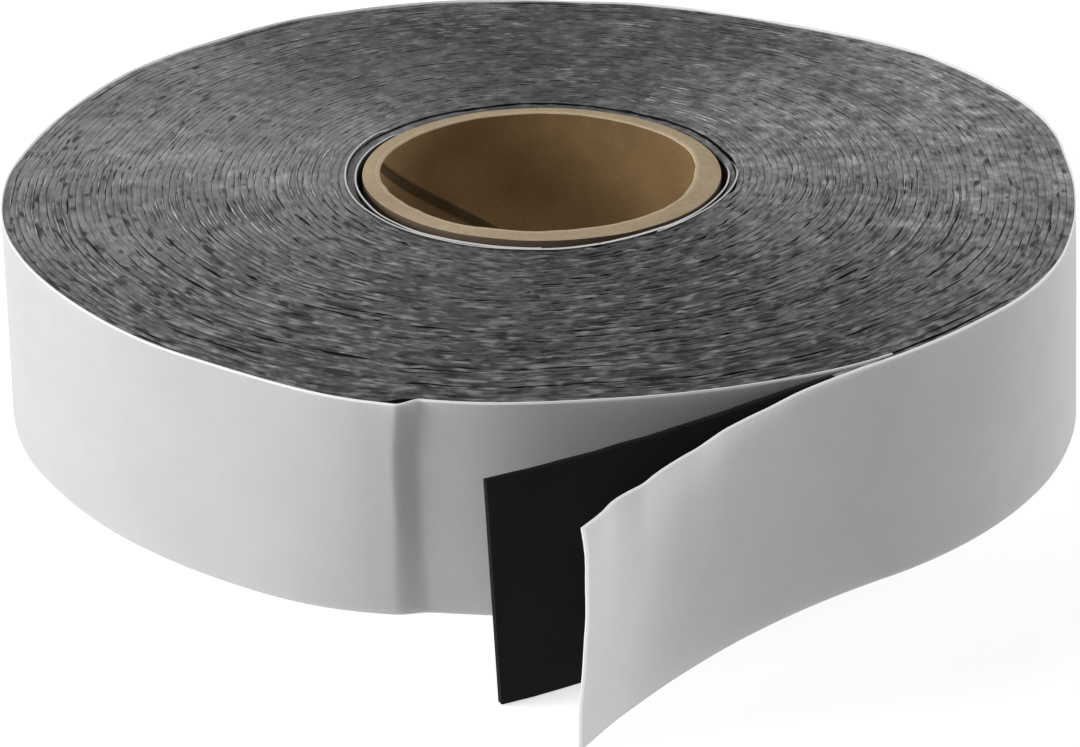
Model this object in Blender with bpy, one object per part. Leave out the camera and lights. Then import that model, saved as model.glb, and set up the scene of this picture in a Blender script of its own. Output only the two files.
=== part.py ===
# A roll of butyl sealing tape, lying on its side: black butyl strip wound with a pale release liner
# on a cardboard core. At the front the strip and its liner come off the roll as two short free ends.
# Metres, +Z up. The roll's axis is vertical, and the photograph looks along +Y from above the front.
# The origin is under the middle of the whole part, on the surface that it lies on.
import math

import bpy
from mathutils import Vector

# Driving sizes of the roll
TAPE_WIDTH = 0.0512
ROLL_RADIUS = 0.1268
STRIP_THICKNESS = 0.00150
LINER_THICKNESS = 0.00030
CORE_BORE_RADIUS = 0.0378
CORE_WALL = 0.0045
CORE_CHAMFER = 0.00040
SEAT_GAP = 0.00030
# The butyl is a little narrower than its liner and the core, which stand proud of its upper end face
FACE_SETBACK = 0.00055

# Where the tape leaves the roll: an angle from +X, anticlockwise seen from above
LEAVE_ANGLE = math.radians(304.0)
# How far the liner's inner end is tucked in under the leaving strip
LINER_TUCK = 0.0045

# The free ends follow these bends, each an arc length and a turn, positive away from the roll.
# The top of a cut end stands further out than its foot by the lean, and further along by the slant.
STRIP_BENDS = ((0.0260, math.radians(4.0)), (0.0690, math.radians(-12.5)))
STRIP_LEAN = 0.0027
STRIP_SLANT = 0.0035
LINER_BENDS = ((0.0230, math.radians(7.0)), (0.0695, math.radians(17.5)))
LINER_LEAN = 0.0033
LINER_SLANT = 0.0062

# The turns show on both ends as shallow rings, one for every few turns of tape
RING_COUNT = 9
RING_WIDTH = 0.0014
RING_DEPTH = 0.0007
RING_MARGIN = 0.0040

# Facets
ROUND_SEGMENTS = 60
BEND_SEGMENTS = 7
CUTTER_OVERRUN = 0.0050
SHARP_ANGLE = math.radians(30.0)

# Sizes that follow from the ones above
CORE_RADIUS = CORE_BORE_RADIUS + CORE_WALL
WOUND_BORE_RADIUS = CORE_RADIUS + SEAT_GAP
TURN_PITCH = STRIP_THICKNESS + LINER_THICKNESS + 2 * SEAT_GAP
STRIP_RADIUS = ROLL_RADIUS - LINER_THICKNESS - SEAT_GAP
STRIP_WIDTH = TAPE_WIDTH - FACE_SETBACK
WOUND_RADIUS = STRIP_RADIUS - TURN_PITCH


def clear_scene():
    for old in list(bpy.data.objects):
        bpy.data.objects.remove(old, do_unlink=True)


def material(name, colour, roughness):
    """A matt material of one colour."""
    made = bpy.data.materials.new(name)
    made.use_nodes = True
    made.diffuse_color = (*colour, 1.0)
    shader = made.node_tree.nodes["Principled BSDF"]
    shader.inputs["Base Color"].default_value = (*colour, 1.0)
    shader.inputs["Roughness"].default_value = roughness
    shader.inputs["Metallic"].default_value = 0.0
    return made


def polar(radius, angle):
    return Vector((radius * math.cos(angle), radius * math.sin(angle)))


def turn_face(outer_radius, start, end):
    """Plan points of one wound turn's face, anticlockwise from the leaving point.

    start and end are angles past the leaving point. The radius shrinks by one pitch in a full turn.
    """
    step = math.tau / ROUND_SEGMENTS
    angles = [start]
    angles += [i * step for i in range(ROUND_SEGMENTS + 2) if start < i * step < end]
    angles.append(end)
    return [polar(outer_radius - TURN_PITCH * a / math.tau, LEAVE_ANGLE + a) for a in angles]


def free_end(radius, thickness, bends, lean, slant):
    """Both faces of a free end, from where it leaves the roll at the given radius to its cut end.

    Returns the outer and the inner face, each a list of foot and top points in plan.
    """
    length = sum(arc for arc, turn in bends)
    place = polar(radius, LEAVE_ANGLE)
    heading = LEAVE_ANGLE - math.pi / 2
    run = 0.0
    outer = []
    inner = []
    for arc, turn in bends:
        for _ in range(BEND_SEGMENTS):
            step = arc / BEND_SEGMENTS
            middle = heading + 0.5 * turn / BEND_SEGMENTS
            place = place + step * Vector((math.cos(middle), math.sin(middle)))
            heading += turn / BEND_SEGMENTS
            run += step
            along = Vector((math.cos(heading), math.sin(heading)))
            outwards = Vector((-along.y, along.x))
            shift = (run / length) ** 2 * (lean * outwards + slant * along)
            outer.append((place, place + shift))
            inner.append((place - thickness * outwards, place - thickness * outwards + shift))
    return outer, inner


def upright(points):
    """Pairs of foot and top points for a stretch of wall that stands upright."""
    return [(point, point) for point in points]


def strip_outline():
    """The wound strip and its free end, seen from above, anticlockwise."""
    tuck = (LINER_TUCK + SEAT_GAP) / ROLL_RADIUS
    outer, inner = free_end(STRIP_RADIUS, STRIP_THICKNESS, STRIP_BENDS, STRIP_LEAN, STRIP_SLANT)
    outline = upright(turn_face(STRIP_RADIUS, 0.0, math.tau + tuck))
    outline += upright(reversed(turn_face(STRIP_RADIUS - STRIP_THICKNESS, 0.0, tuck)))
    outline += inner
    outline += reversed(outer)
    return outline


def liner_outline():
    """The outermost turn of liner and its free end, seen from above, anticlockwise."""
    end = math.tau + LINER_TUCK / ROLL_RADIUS
    outer, inner = free_end(ROLL_RADIUS, LINER_THICKNESS, LINER_BENDS, LINER_LEAN, LINER_SLANT)
    outline = upright(turn_face(ROLL_RADIUS, 0.0, end))
    outline += upright(reversed(turn_face(ROLL_RADIUS - LINER_THICKNESS, 0.0, end)))
    outline += inner
    outline += reversed(outer)
    return outline


def prism(name, outline, finish, low, high):
    """A solid that stands over a plan outline, from one height to another."""
    count = len(outline)
    points = [(foot.x, foot.y, low) for foot, top in outline]
    points += [(top.x, top.y, high) for foot, top in outline]
    faces = [list(reversed(range(count))), list(range(count, 2 * count))]
    faces += [(i, (i + 1) % count, count + (i + 1) % count, count + i) for i in range(count)]
    return mesh_object(name, points, faces, finish)


def turned(name, sections, finish):
    """Rings turned about the roll's axis. Each section is a closed loop of radius and height,
    anticlockwise where radius runs right and height runs up."""
    points = []
    faces = []
    for section in sections:
        count = len(section)
        first = len(points)
        for turn in range(ROUND_SEGMENTS):
            angle = LEAVE_ANGLE + turn * math.tau / ROUND_SEGMENTS
            points += [(*polar(radius, angle), height) for radius, height in section]
        for turn in range(ROUND_SEGMENTS):
            here = first + turn * count
            there = first + (turn + 1) % ROUND_SEGMENTS * count
            for i in range(count):
                j = (i + 1) % count
                faces.append((here + i, there + i, there + j, here + j))
    return mesh_object(name, points, faces, finish)


def mesh_object(name, points, faces, finish):
    mesh = bpy.data.meshes.new(name)
    mesh.from_pydata(points, [], faces)
    mesh.update()
    made = bpy.data.objects.new(name, mesh)
    bpy.context.collection.objects.link(made)
    if finish:
        mesh.materials.append(finish)
    return made


def guide(cutter):
    """Marks a cutter as a construction guide, which isn't part of the roll."""
    cutter.hide_render = True
    cutter.display_type = "WIRE"
    return cutter


def cut(body, cutter):
    """Takes the cutter's shape out of the body and keeps the result as the body's own mesh."""
    boolean = body.modifiers.new(cutter.name, "BOOLEAN")
    boolean.operation = "DIFFERENCE"
    boolean.solver = "EXACT"
    boolean.object = cutter
    evaluated = body.evaluated_get(bpy.context.evaluated_depsgraph_get())
    body.data = bpy.data.meshes.new_from_object(evaluated)
    body.modifiers.clear()


def shade_round(body):
    body.data.shade_smooth()
    body.data.set_sharp_from_angle(angle=SHARP_ANGLE)


def cardboard_core(finish):
    """The tube that the tape is wound on, with its cut edges slightly rounded off."""
    inner, outer, chamfer = CORE_BORE_RADIUS, CORE_RADIUS, CORE_CHAMFER
    section = [
        (inner + chamfer, 0.0),
        (outer - chamfer, 0.0),
        (outer, chamfer),
        (outer, TAPE_WIDTH - chamfer),
        (outer - chamfer, TAPE_WIDTH),
        (inner + chamfer, TAPE_WIDTH),
        (inner, TAPE_WIDTH - chamfer),
        (inner, chamfer),
    ]
    core = turned("cardboard_core", [section], finish)
    shade_round(core)
    return core


def ring_section(radius, face_height, inwards):
    """A wedge that cuts one ring into an end face. inwards is 1 from below and -1 from above."""
    tip = (radius, face_height + inwards * RING_DEPTH)
    near = (radius - RING_WIDTH, face_height - inwards * RING_DEPTH)
    far = (radius + RING_WIDTH, face_height - inwards * RING_DEPTH)
    return [tip, near, far] if inwards > 0 else [tip, far, near]


def turn_ring_cutter():
    """The rings of both end faces, evenly spaced from the core to the outermost turns."""
    first = WOUND_BORE_RADIUS + RING_MARGIN
    spacing = (WOUND_RADIUS - RING_MARGIN - first) / (RING_COUNT - 1)
    sections = []
    for index in range(RING_COUNT):
        radius = first + index * spacing
        sections.append(ring_section(radius, 0.0, 1))
        sections.append(ring_section(radius, STRIP_WIDTH, -1))
    return guide(turned("turn_ring_cutter", sections, None))


def bore_cutter():
    step = math.tau / ROUND_SEGMENTS
    circle = [polar(WOUND_BORE_RADIUS, LEAVE_ANGLE + i * step) for i in range(ROUND_SEGMENTS)]
    return guide(prism("bore_cutter", upright(circle), None, -CUTTER_OVERRUN, TAPE_WIDTH + CUTTER_OVERRUN))


def butyl_tape(finish):
    """The wound strip as one body with its bore, its turns as rings on both ends, and its free end."""
    tape = prism("butyl_tape", strip_outline(), finish, 0.0, STRIP_WIDTH)
    cut(tape, bore_cutter())
    cut(tape, turn_ring_cutter())
    shade_round(tape)
    return tape


def release_liner(finish):
    """The outermost turn of liner, tucked in under the leaving strip, and its free end."""
    liner = prism("release_liner", liner_outline(), finish, 0.0, TAPE_WIDTH)
    shade_round(liner)
    return liner


def middle_of(outlines):
    """The middle, in plan, of the box around all the outlines."""
    points = [point for outline in outlines for pair in outline for point in pair]
    xs = [point.x for point in points]
    ys = [point.y for point in points]
    return 0.5 * (min(xs) + max(xs)), 0.5 * (min(ys) + max(ys))


def roll_axis(parts):
    """An empty on the roll's axis that carries the parts, placed so that the origin is in the middle."""
    axis = bpy.data.objects.new("roll_axis", None)
    bpy.context.collection.objects.link(axis)
    middle_x, middle_y = middle_of([strip_outline(), liner_outline()])
    axis.location = (-middle_x, -middle_y, 0.0)
    for part in parts:
        part.parent = axis


clear_scene()
roll_axis([
    cardboard_core(material("cardboard", (0.43, 0.30, 0.20), 0.85)),
    butyl_tape(material("butyl", (0.035, 0.035, 0.034), 0.75)),
    release_liner(material("liner_paper", (0.78, 0.78, 0.76), 0.55)),
])
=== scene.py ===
import math

import bpy
import numpy as np
from mathutils import Matrix, Vector


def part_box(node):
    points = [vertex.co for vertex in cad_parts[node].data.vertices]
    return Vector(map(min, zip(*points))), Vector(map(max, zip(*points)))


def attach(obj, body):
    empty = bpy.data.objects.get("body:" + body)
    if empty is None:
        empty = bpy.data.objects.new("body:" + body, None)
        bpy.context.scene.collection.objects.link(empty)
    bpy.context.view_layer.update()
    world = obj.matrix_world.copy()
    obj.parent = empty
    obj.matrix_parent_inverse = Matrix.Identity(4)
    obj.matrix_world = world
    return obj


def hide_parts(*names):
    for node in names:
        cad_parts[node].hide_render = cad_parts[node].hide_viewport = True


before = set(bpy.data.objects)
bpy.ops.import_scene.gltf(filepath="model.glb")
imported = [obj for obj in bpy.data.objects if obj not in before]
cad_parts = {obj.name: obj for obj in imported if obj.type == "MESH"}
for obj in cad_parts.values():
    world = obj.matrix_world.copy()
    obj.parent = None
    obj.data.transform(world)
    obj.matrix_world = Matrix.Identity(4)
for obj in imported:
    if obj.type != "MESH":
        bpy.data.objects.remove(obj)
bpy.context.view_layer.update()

MM = 0.001

# From the frame: the roll's axis, the tape's width and the core's radius
core_low, core_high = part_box("cardboard_core")
AXIS = Vector((0.5 * (core_low[0] + core_high[0]), 0.5 * (core_low[1] + core_high[1]), 0.0))
WIDTH = (core_high[2] - core_low[2]) / MM
CORE_RADIUS = 0.5 * (core_high[0] - core_low[0]) / MM

# The winding. The outermost turn of liner runs on past a full turn by the tuck, an angle, and its
# inner end lies there under the tape that leaves the roll.
LEAVE_ANGLE = 304.0
TURNS = 48
STRIP_THICKNESS = 1.50
LINER_THICKNESS = 0.30
INNER_LINER_THICKNESS = 0.17
TUCK = 2.0
# Clearance between the outermost turn of liner and the butyl under it
SKIN_GAP = 0.15
# Length of tape between two columns of a wound mesh, and how many angles that length is measured at
WOUND_STEP = 2.3
WINDING_SAMPLES = 40001

# The free ends: arc lengths and turns, positive away from the roll. The top of a cut end stands
# further out than its foot by the lean, and further along by the slant.
STRIP_BENDS = ((26.0, 4.0), (68.5, -11.2))
STRIP_LEAN = 1.2
STRIP_SLANT = 3.3
LINER_BENDS = ((23.0, 7.0), (71.4, 18.0))
LINER_LEAN = 3.3
LINER_SLANT = 3.7

# The roll isn't quite round: radius of the liner's outer face at angles past the leaving point,
# along the top and along the foot of its wall, without the lift and the crease below. The points are
# the crests and dips of the roll, read off the photo through the fitted camera.
ROLL_TOP = (
    (0, 125.4), (6, 124.9), (12, 125.0), (21, 125.8), (31, 125.4), (38, 124.4), (51, 123.9), (61, 124.8),
    (67, 126.5), (74, 127.9), (83, 128.1), (98, 127.8), (107, 125.6), (118, 124.0), (134, 125.9),
    (143, 125.3), (151, 127.0), (163, 128.9), (170, 128.9), (176, 129.2), (188, 127.5), (202, 126.8),
    (213, 125.1), (224, 124.7), (237, 125.6), (255, 126.2), (273, 125.5), (287, 126.0), (304, 125.3),
    (320, 125.4), (331, 123.8), (348, 123.8), (360, 123.7),
)
ROLL_FOOT = (
    (0, 126.5), (10, 127.3), (28, 128.2), (50, 127.3), (75, 126.6), (110, 125.6), (150, 126.4),
    (165, 127.6), (195, 126.6), (230, 126.3), (255, 127.0), (268, 126.0), (280, 125.4), (303, 124.3),
    (310, 122.6), (316, 121.2), (324, 120.6), (338, 121.4), (350, 123.0), (360, 124.8),
)
# How far the last turn is lifted where the tape leaves the roll, and the angle over which that fades
LIFT = 0.8
LIFT_FADES = 25.0

# The crease in the outermost turn: the liner stands off the roll before it and lies close behind it.
# Places and widths are angles, places past the leaving point, and levels are 0 at the foot, 1 on top.
CREASE_RISE_FROM = 291.0
CREASE_TOP_OF_RISE = 309.0
CREASE_AT = 313.15
CREASE_LEAN_ON_TOP = 0.50
CREASE_LEANS_FROM_LEVEL = 0.72
CREASE_WIDTH_LEVELS = (0.0, 0.5, 0.7, 1.0)
CREASE_WIDTHS = (3.6, 2.4, 2.4, 2.1)
# How far it stands off at the foot and on top, and the share that it loses before the crease
CREASE_BULGE_FOOT = 1.6
CREASE_BULGE_TOP = 3.5
CREASE_SAG = 0.06
# The small ridge along the crease
CREASE_RIDGE = 0.12
CREASE_RIDGE_WIDTH = 1.3
# How much of the bulge the butyl under the liner follows, over how many turns that fades, and how far
# short of the liner's crease the butyl turns in
CREASE_FOLLOWED = 0.85
CREASE_FADES_IN = 2.5
CREASE_CLEARANCE = 1.6

# Radius where the butyl starts at the core, past the leaving point
INNER_EDGE = (
    (0, 44.3), (26, 43.9), (46, 45.3), (56, 45.9), (76, 46.2), (106, 46.8), (146, 48.2), (186, 48.2),
    (206, 48.2), (221, 47.8), (236, 47.4), (256, 47.4), (271, 47.7), (286, 48.0), (306, 47.9),
    (326, 47.0), (346, 45.2), (360, 44.3),
)

# Round the end face, at angles from the +X axis: how rough it is, from 0 to 1, how far the butyl is
# smeared over the gaps between the turns, from -1 to 1, and how far the liner's edges stand proud
ROUGH_ROUND = (
    (0, 0.30), (45, 0.28), (90, 0.35), (135, 0.28), (180, 0.28), (225, 0.65), (270, 1.0), (315, 0.85),
    (360, 0.30),
)
SMEAR_ROUND = (
    (0, 0.10), (30, 0.15), (60, 0.40), (90, 0.45), (130, 0.40), (160, 0.20), (180, 0.05), (200, -0.15),
    (225, -0.15), (260, 0.0), (290, 0.0), (330, -0.05), (360, 0.10),
)
PROUD_ROUND = (
    (0, 0.08), (45, -0.05), (90, -0.10), (135, 0.0), (180, 0.12), (205, 0.10), (225, -0.06), (270, -0.04),
    (315, 0.0), (360, 0.08),
)
# Steps in the end face where a band of turns slipped: radius, from and to angle, drop outside it.
# Outwards of the step the face comes back up over the fade.
LEDGES = ((91.0, 288.0, 385.0, 0.40), (104.0, 150.0, 215.0, 0.20))
LEDGE_FADES = 9.0
# Gaps between two turns that stand open: the turn outside the gap, from and to angle
OPEN_GAPS = (
    (3, 290.0, 335.0), (6, 262.0, 310.0), (10, 226.0, 262.0), (15, 252.0, 298.0), (16, 214.0, 246.0),
    (21, 282.0, 312.0), (25, 198.0, 232.0), (29, 306.0, 350.0), (34, 270.0, 322.0), (39, 222.0, 262.0),
)
# How far the liner's peeled end strays outwards from its plain bends: along its top edge, at lengths
# from the leaving point, and up its cut end, at shares of its width from the foot
TAIL_STRAY = (
    (0, 0.1), (16, 0.2), (25, 0.1), (34.7, 0.45), (38.8, 0.3), (42.8, 0.2), (47.3, 0.17), (51.9, 0.57),
    (56.3, 0.85), (60.8, 0.56), (65, 0.35), (69.7, 0.31), (74.6, 0.40), (78.3, -0.35), (82.4, -0.95),
    (88.1, -0.8), (94.4, -1.45),
)
TAIL_BOW = (
    (0, -0.4), (0.1, -0.4), (0.2, -0.4), (0.35, 0.15), (0.5, 0.52), (0.62, 0.88), (0.75, 0.84),
    (0.9, 0.92), (1, 0.35),
)


def table_value(table, x):
    """A smooth curve through a table's points, for an array of positions."""
    xs = np.array([p[0] for p in table], float)
    ys = np.array([p[1] for p in table], float)
    slopes = np.gradient(ys, xs)
    x = np.clip(x, xs[0], xs[-1])
    i = np.clip(np.searchsorted(xs, x, side="right") - 1, 0, len(xs) - 2)
    h = xs[i + 1] - xs[i]
    t = (x - xs[i]) / h
    from_here = (2 * t**3 - 3 * t**2 + 1) * ys[i] + (t**3 - 2 * t**2 + t) * h * slopes[i]
    from_next = (3 * t**2 - 2 * t**3) * ys[i + 1] + (t**3 - t**2) * h * slopes[i + 1]
    return from_here + from_next


def smooth(low, high, x):
    """0 below low, 1 above high and a soft step between."""
    t = np.clip((x - low) / (high - low), 0.0, 1.0)
    return t * t * (3.0 - 2.0 * t)


# Noise is called with a place over the size of its bumps, in millimetres or degrees like the place,
# plus an offset that keeps it apart from others, and with a seed of its own.
LINE_VALUES = 32768
PLANE_VALUES = 256


def noise_line(x, seed):
    """Smooth noise from -1 to 1 along a line, with one random value at each whole number."""
    values = np.random.default_rng(seed).uniform(-1.0, 1.0, LINE_VALUES)
    base = np.floor(x).astype(int)
    t = x - base
    t = t * t * (3.0 - 2.0 * t)
    return values[base % LINE_VALUES] * (1.0 - t) + values[(base + 1) % LINE_VALUES] * t


def noise_plane(x, y, seed):
    """Smooth noise from -1 to 1 over a plane, with one random value at each whole pair."""
    values = np.random.default_rng(seed).uniform(-1.0, 1.0, (PLANE_VALUES, PLANE_VALUES))
    i, j = np.floor(x).astype(int), np.floor(y).astype(int)
    s, t = x - i, y - j
    s, t = s * s * (3.0 - 2.0 * s), t * t * (3.0 - 2.0 * t)
    i, j = i % PLANE_VALUES, j % PLANE_VALUES
    after_i, after_j = (i + 1) % PLANE_VALUES, (j + 1) % PLANE_VALUES
    near = values[i, j] * (1 - s) + values[after_i, j] * s
    far = values[i, after_j] * (1 - s) + values[after_i, after_j] * s
    return near * (1 - t) + far * t


def arc_window(around, start, end, fade):
    """1 between two angles and 0 elsewhere, with soft ends."""
    at = np.mod(around - start, 360.0)
    span = end - start
    return smooth(0.0, fade, at) * (1.0 - smooth(span - fade, span, at))


def from_east(turned):
    """The angle from the +X axis, 0 to 360, of a place past the leaving point."""
    return np.mod(turned + LEAVE_ANGLE, 360.0)


def roughness(turned):
    """How rough the end face is, from 0 to 1."""
    return table_value(ROUGH_ROUND, from_east(turned))


# Meshes

SHARP_ANGLE = 50.0


def in_world(points):
    """Points in millimetres from the roll's axis as the frame's metres."""
    return points * MM + np.array(AXIS)


def skin_faces(columns, rows, closed):
    """Quads of a closed skin: columns run along the piece, rows run round its section."""
    lengths = columns if closed else columns - 1
    k, j = np.meshgrid(np.arange(lengths), np.arange(rows), indexing="ij")
    after, under = (k + 1) % columns, (j + 1) % rows
    quads = np.stack([k * rows + j, after * rows + j, after * rows + under, k * rows + under], -1)
    return quads.reshape(-1, 4)


def skin(name, points, finishes, finish_index, cap_finish=0, closed=False, places=None):
    """A piece from a grid of section points, [column, row, xyz], with its open ends capped.

    finish_index gives each row of faces, or each column and row, its index among the finishes,
    cap_finish gives the first cap's, and places gives each point's UV.
    """
    columns, rows = points.shape[:2]
    quads = skin_faces(columns, rows, closed)
    faces = quads.tolist()
    if not closed:
        faces.append(list(range(rows))[::-1])
        faces.append([(columns - 1) * rows + j for j in range(rows)])
    mesh = bpy.data.meshes.new(name)
    mesh.from_pydata(in_world(points.reshape(-1, 3)).tolist(), [], faces)
    for finish in finishes:
        mesh.materials.append(finish)
    lengths = len(quads) // rows
    index = np.zeros(len(faces), np.int32)
    index[: len(quads)] = np.broadcast_to(finish_index, (lengths, rows)).ravel()
    if not closed:
        index[len(quads)] = cap_finish
    mesh.polygons.foreach_set("material_index", index)
    if places is not None:
        layer = mesh.uv_layers.new(name="Place")
        corner = np.zeros(len(mesh.loops), np.int32)
        mesh.loops.foreach_get("vertex_index", corner)
        layer.uv.foreach_set("vector", places.reshape(-1, 2)[corner].astype(np.float32).ravel())
    mesh.shade_smooth()
    mesh.set_sharp_from_angle(angle=math.radians(SHARP_ANGLE))
    mesh.update()
    piece = bpy.data.objects.new(name, mesh)
    bpy.context.scene.collection.objects.link(piece)
    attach(piece, "root")
    return piece


# The winding's shape

def outline(degrees, level):
    """Radius of the liner's outer face as the outermost turn has it. level is 0 at the foot, 1 on top."""
    foot, top = table_value(ROLL_FOOT, degrees), table_value(ROLL_TOP, degrees)
    return foot + (top - foot) * level


def lift(turned):
    """How far the last turn stands off the one under it, beyond the leaving point."""
    return LIFT * (1.0 - smooth(0.0, LIFT_FADES, turned))


def crease(turned, level):
    """How far the outermost turn stands off the roll at its crease."""
    height = CREASE_BULGE_FOOT + (CREASE_BULGE_TOP - CREASE_BULGE_FOOT) * level
    half = 0.5 * np.interp(level, CREASE_WIDTH_LEVELS, CREASE_WIDTHS)
    middle = CREASE_AT + CREASE_LEAN_ON_TOP * smooth(CREASE_LEANS_FROM_LEVEL, 1.0, level)
    rise = smooth(CREASE_RISE_FROM, CREASE_TOP_OF_RISE, turned)
    drop = 1.0 - smooth(middle - half, middle + half, turned)
    sag = 1.0 - CREASE_SAG * smooth(CREASE_TOP_OF_RISE, middle - half, turned)
    ridge = CREASE_RIDGE * np.exp(-(((turned - middle + half) / CREASE_RIDGE_WIDTH) ** 2))
    return height * rise * drop * sag + ridge


def butyl_radius(turned, level):
    """Radius of the butyl's outer face, for angles past the leaving point up to all the turns."""
    degrees = np.mod(turned, 360.0)
    turn = np.floor(turned / 360.0)
    inner = table_value(INNER_EDGE, degrees)
    rim = outline(degrees, level) - LINER_THICKNESS - SKIN_GAP
    full = inner + (rim - inner) * TURNS / (TURNS - degrees / 360.0)
    left = (TURNS * 360.0 - turned) / (TURNS * 360.0)
    pushed = CREASE_FOLLOWED * np.exp(-turn / CREASE_FADES_IN) * crease(degrees + CREASE_CLEARANCE, level)
    return inner + (full - inner) * left + np.where(turned < 360.0, lift(turned), 0.0) + pushed


def polar(radius, degrees):
    """Plan places at radii and at angles from the +X axis."""
    angle = np.radians(degrees)
    return np.stack([radius * np.cos(angle), radius * np.sin(angle)], -1)


def free_path(radius, bends, steps):
    """Lengths along a free end, from the leaving point to the cut, with the plan place, the direction
    along the tape and the direction away from the roll at each."""
    length = sum(arc for arc, turn in bends)
    arcs = np.cumsum([0.0] + [arc for arc, turn in bends])
    turns = np.cumsum([0.0] + [turn for arc, turn in bends])
    run = np.linspace(0.0, length, steps + 1)
    heading = np.radians(LEAVE_ANGLE - 90.0 + np.interp(run, arcs, turns))
    middle = 0.5 * (heading[1:] + heading[:-1])
    moves = np.stack([np.cos(middle), np.sin(middle)], -1) * (length / steps)
    start = polar(np.array(radius), np.array(LEAVE_ANGLE))
    places = np.vstack([start, start + np.cumsum(moves, 0)])
    along = np.stack([np.cos(heading), np.sin(heading)], -1)
    outwards = np.stack([-along[:, 1], along[:, 0]], -1)
    return run, places, along, outwards


def wound_turns():
    """Lengths of tape from the leaving point, one for every step, and their angles past that point."""
    fine = np.linspace(0.0, 360.0 * TURNS, WINDING_SAMPLES)
    radius = butyl_radius(fine, 0.5)
    run = np.concatenate([[0.0], np.cumsum(np.radians(np.diff(fine)) * 0.5 * (radius[1:] + radius[:-1]))])
    stops = np.linspace(0.0, run[-1], int(run[-1] / WOUND_STEP) + 1)
    return stops, np.interp(stops, run, fine)


# The butyl strip

# Its section: how far across the upper cut edge each row lies, how much of the edge's rounding it has,
# and how far across the lower cut edge the other rows lie
ROWS_ACROSS = (0.0, 0.16, 0.5, 0.84, 1.0)
SHOULDER = (1.0, 0.22, 0.0, 0.22, 1.0)
ROWS_UNDER = (1.0, 0.5, 0.0)
# The upper end face lies this far below the liner's rim, apart from a slight rise of its mean
FACE_BELOW_RIM = 0.55
FACE_RAISED = 0.10
FACE_MEAN = WIDTH - FACE_BELOW_RIM + FACE_RAISED
FACE_SEED = 31
UNDERSIDE_SEED = 51
# The edges' rounding where the face is smooth, and what is added to it where the face is rough
CROWN = 0.10
CROWN_WHERE_ROUGH = 0.46
# The slot between two turns, and how far each turn wanders from its true curve
LINER_SLOT = 0.21
WANDER = 0.24
# The smearing: its mean, and the weight and size of its patches and of its streaks along the tape
SMEAR_MEAN = 0.42
SMEAR_PATCHES = 0.9
SMEAR_PATCH_SIZE = 11.0
SMEAR_STREAKS = 0.8
SMEAR_STREAK_LENGTH = 16.0
# A patch near the rim that is wiped smooth: its weight, from and to angle and where it starts
WIPED = 1.3
WIPED_FROM = 342.0
WIPED_TO = 388.0
WIPED_FROM_RADIUS = 91.0
WIPED_FULL_RADIUS = 94.0
# The free end: its columns, the length near the roll with a cut face's finish, the length over which
# its edge comes up to the liner's, how far below it stays, its edge's rounding and its waves
TAIL_STEPS = 42
TAIL_CLEAN_FROM = 12.0
TAIL_RISES_OVER = 30.0
TAIL_BELOW_RIM = 0.15
TAIL_CROWN = 0.15
TAIL_WAVES = 0.12
# Where a point lies in the material's pattern: across it, one turn is this far from the next, and the
# underside this far from the upper face
TURN_STRIDE = 2.0
UNDERSIDE = 200.0


def wandering_radius(turned, level):
    """The butyl's outer radius with each turn a little off its true curve, but not at the two ends."""
    off = noise_line(turned / 9.0, 13) + 0.6 * noise_line(turned / 3.1, 14)
    settled = smooth(0.0, 380.0, turned) * smooth(0.0, 500.0, TURNS * 360.0 - turned)
    return butyl_radius(turned, level) + WANDER * (0.4 + 0.6 * roughness(turned)) * off * settled


def smeared(turned, radius):
    """How far the butyl covers the gap between two turns, from 0 to 1."""
    x, y = polar(radius, turned + LEAVE_ANGLE).T
    around = from_east(turned)
    patches = SMEAR_PATCHES * noise_plane(x / SMEAR_PATCH_SIZE + 90.0, y / SMEAR_PATCH_SIZE + 90.0, 15)
    streaks = SMEAR_STREAKS * noise_line(np.radians(turned) * radius / SMEAR_STREAK_LENGTH, 16)
    wiped = WIPED * arc_window(around, WIPED_FROM, WIPED_TO, 16.0)
    wiped = wiped * smooth(WIPED_FROM_RADIUS, WIPED_FULL_RADIUS, radius)
    return np.clip(SMEAR_MEAN + patches + streaks + wiped + table_value(SMEAR_ROUND, around), 0.0, 1.0)


def open_gap(turned):
    """How far the gap inside this turn stands open, from 0 to 1."""
    around = from_east(turned)
    turn = np.floor(turned / 360.0)
    gap = np.zeros_like(turned)
    for gap_turn, start, end in OPEN_GAPS:
        gap = np.maximum(gap, (turn == gap_turn) * arc_window(around, start, end, 6.0))
    return gap * (0.65 + 0.35 * noise_line(turned / 2.3, 17))


def face_height(turned, radius, seed):
    """Height of the end face against its mean: swells, waves along the tape, and the slipped steps."""
    rough = roughness(turned)
    run = np.radians(turned) * radius
    turn = np.floor(turned / 360.0)
    x, y = polar(radius, turned + LEAVE_ANGLE).T
    height = 0.16 * noise_plane(x / 14.0 + 50.0, y / 14.0 + 50.0, seed)
    height = height + 0.10 * noise_plane(x / 5.0 + 30.0, y / 5.0 + 30.0, seed + 3)
    height = height + (0.06 + 0.12 * rough) * noise_line(run / 13.0 + 977.0 * turn, seed + 1)
    height = height + rough * 0.14 * noise_line(run / 5.0 + 677.0 * turn, seed + 2)
    for ledge, start, end, drop in LEDGES:
        outwards = np.exp(-np.maximum(radius - ledge, 0.0) / LEDGE_FADES)
        beyond = smooth(ledge - 0.3, ledge + 0.3, radius) * outwards
        height = height - drop * beyond * arc_window(from_east(turned), start, end, 20.0)
    return height


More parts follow.
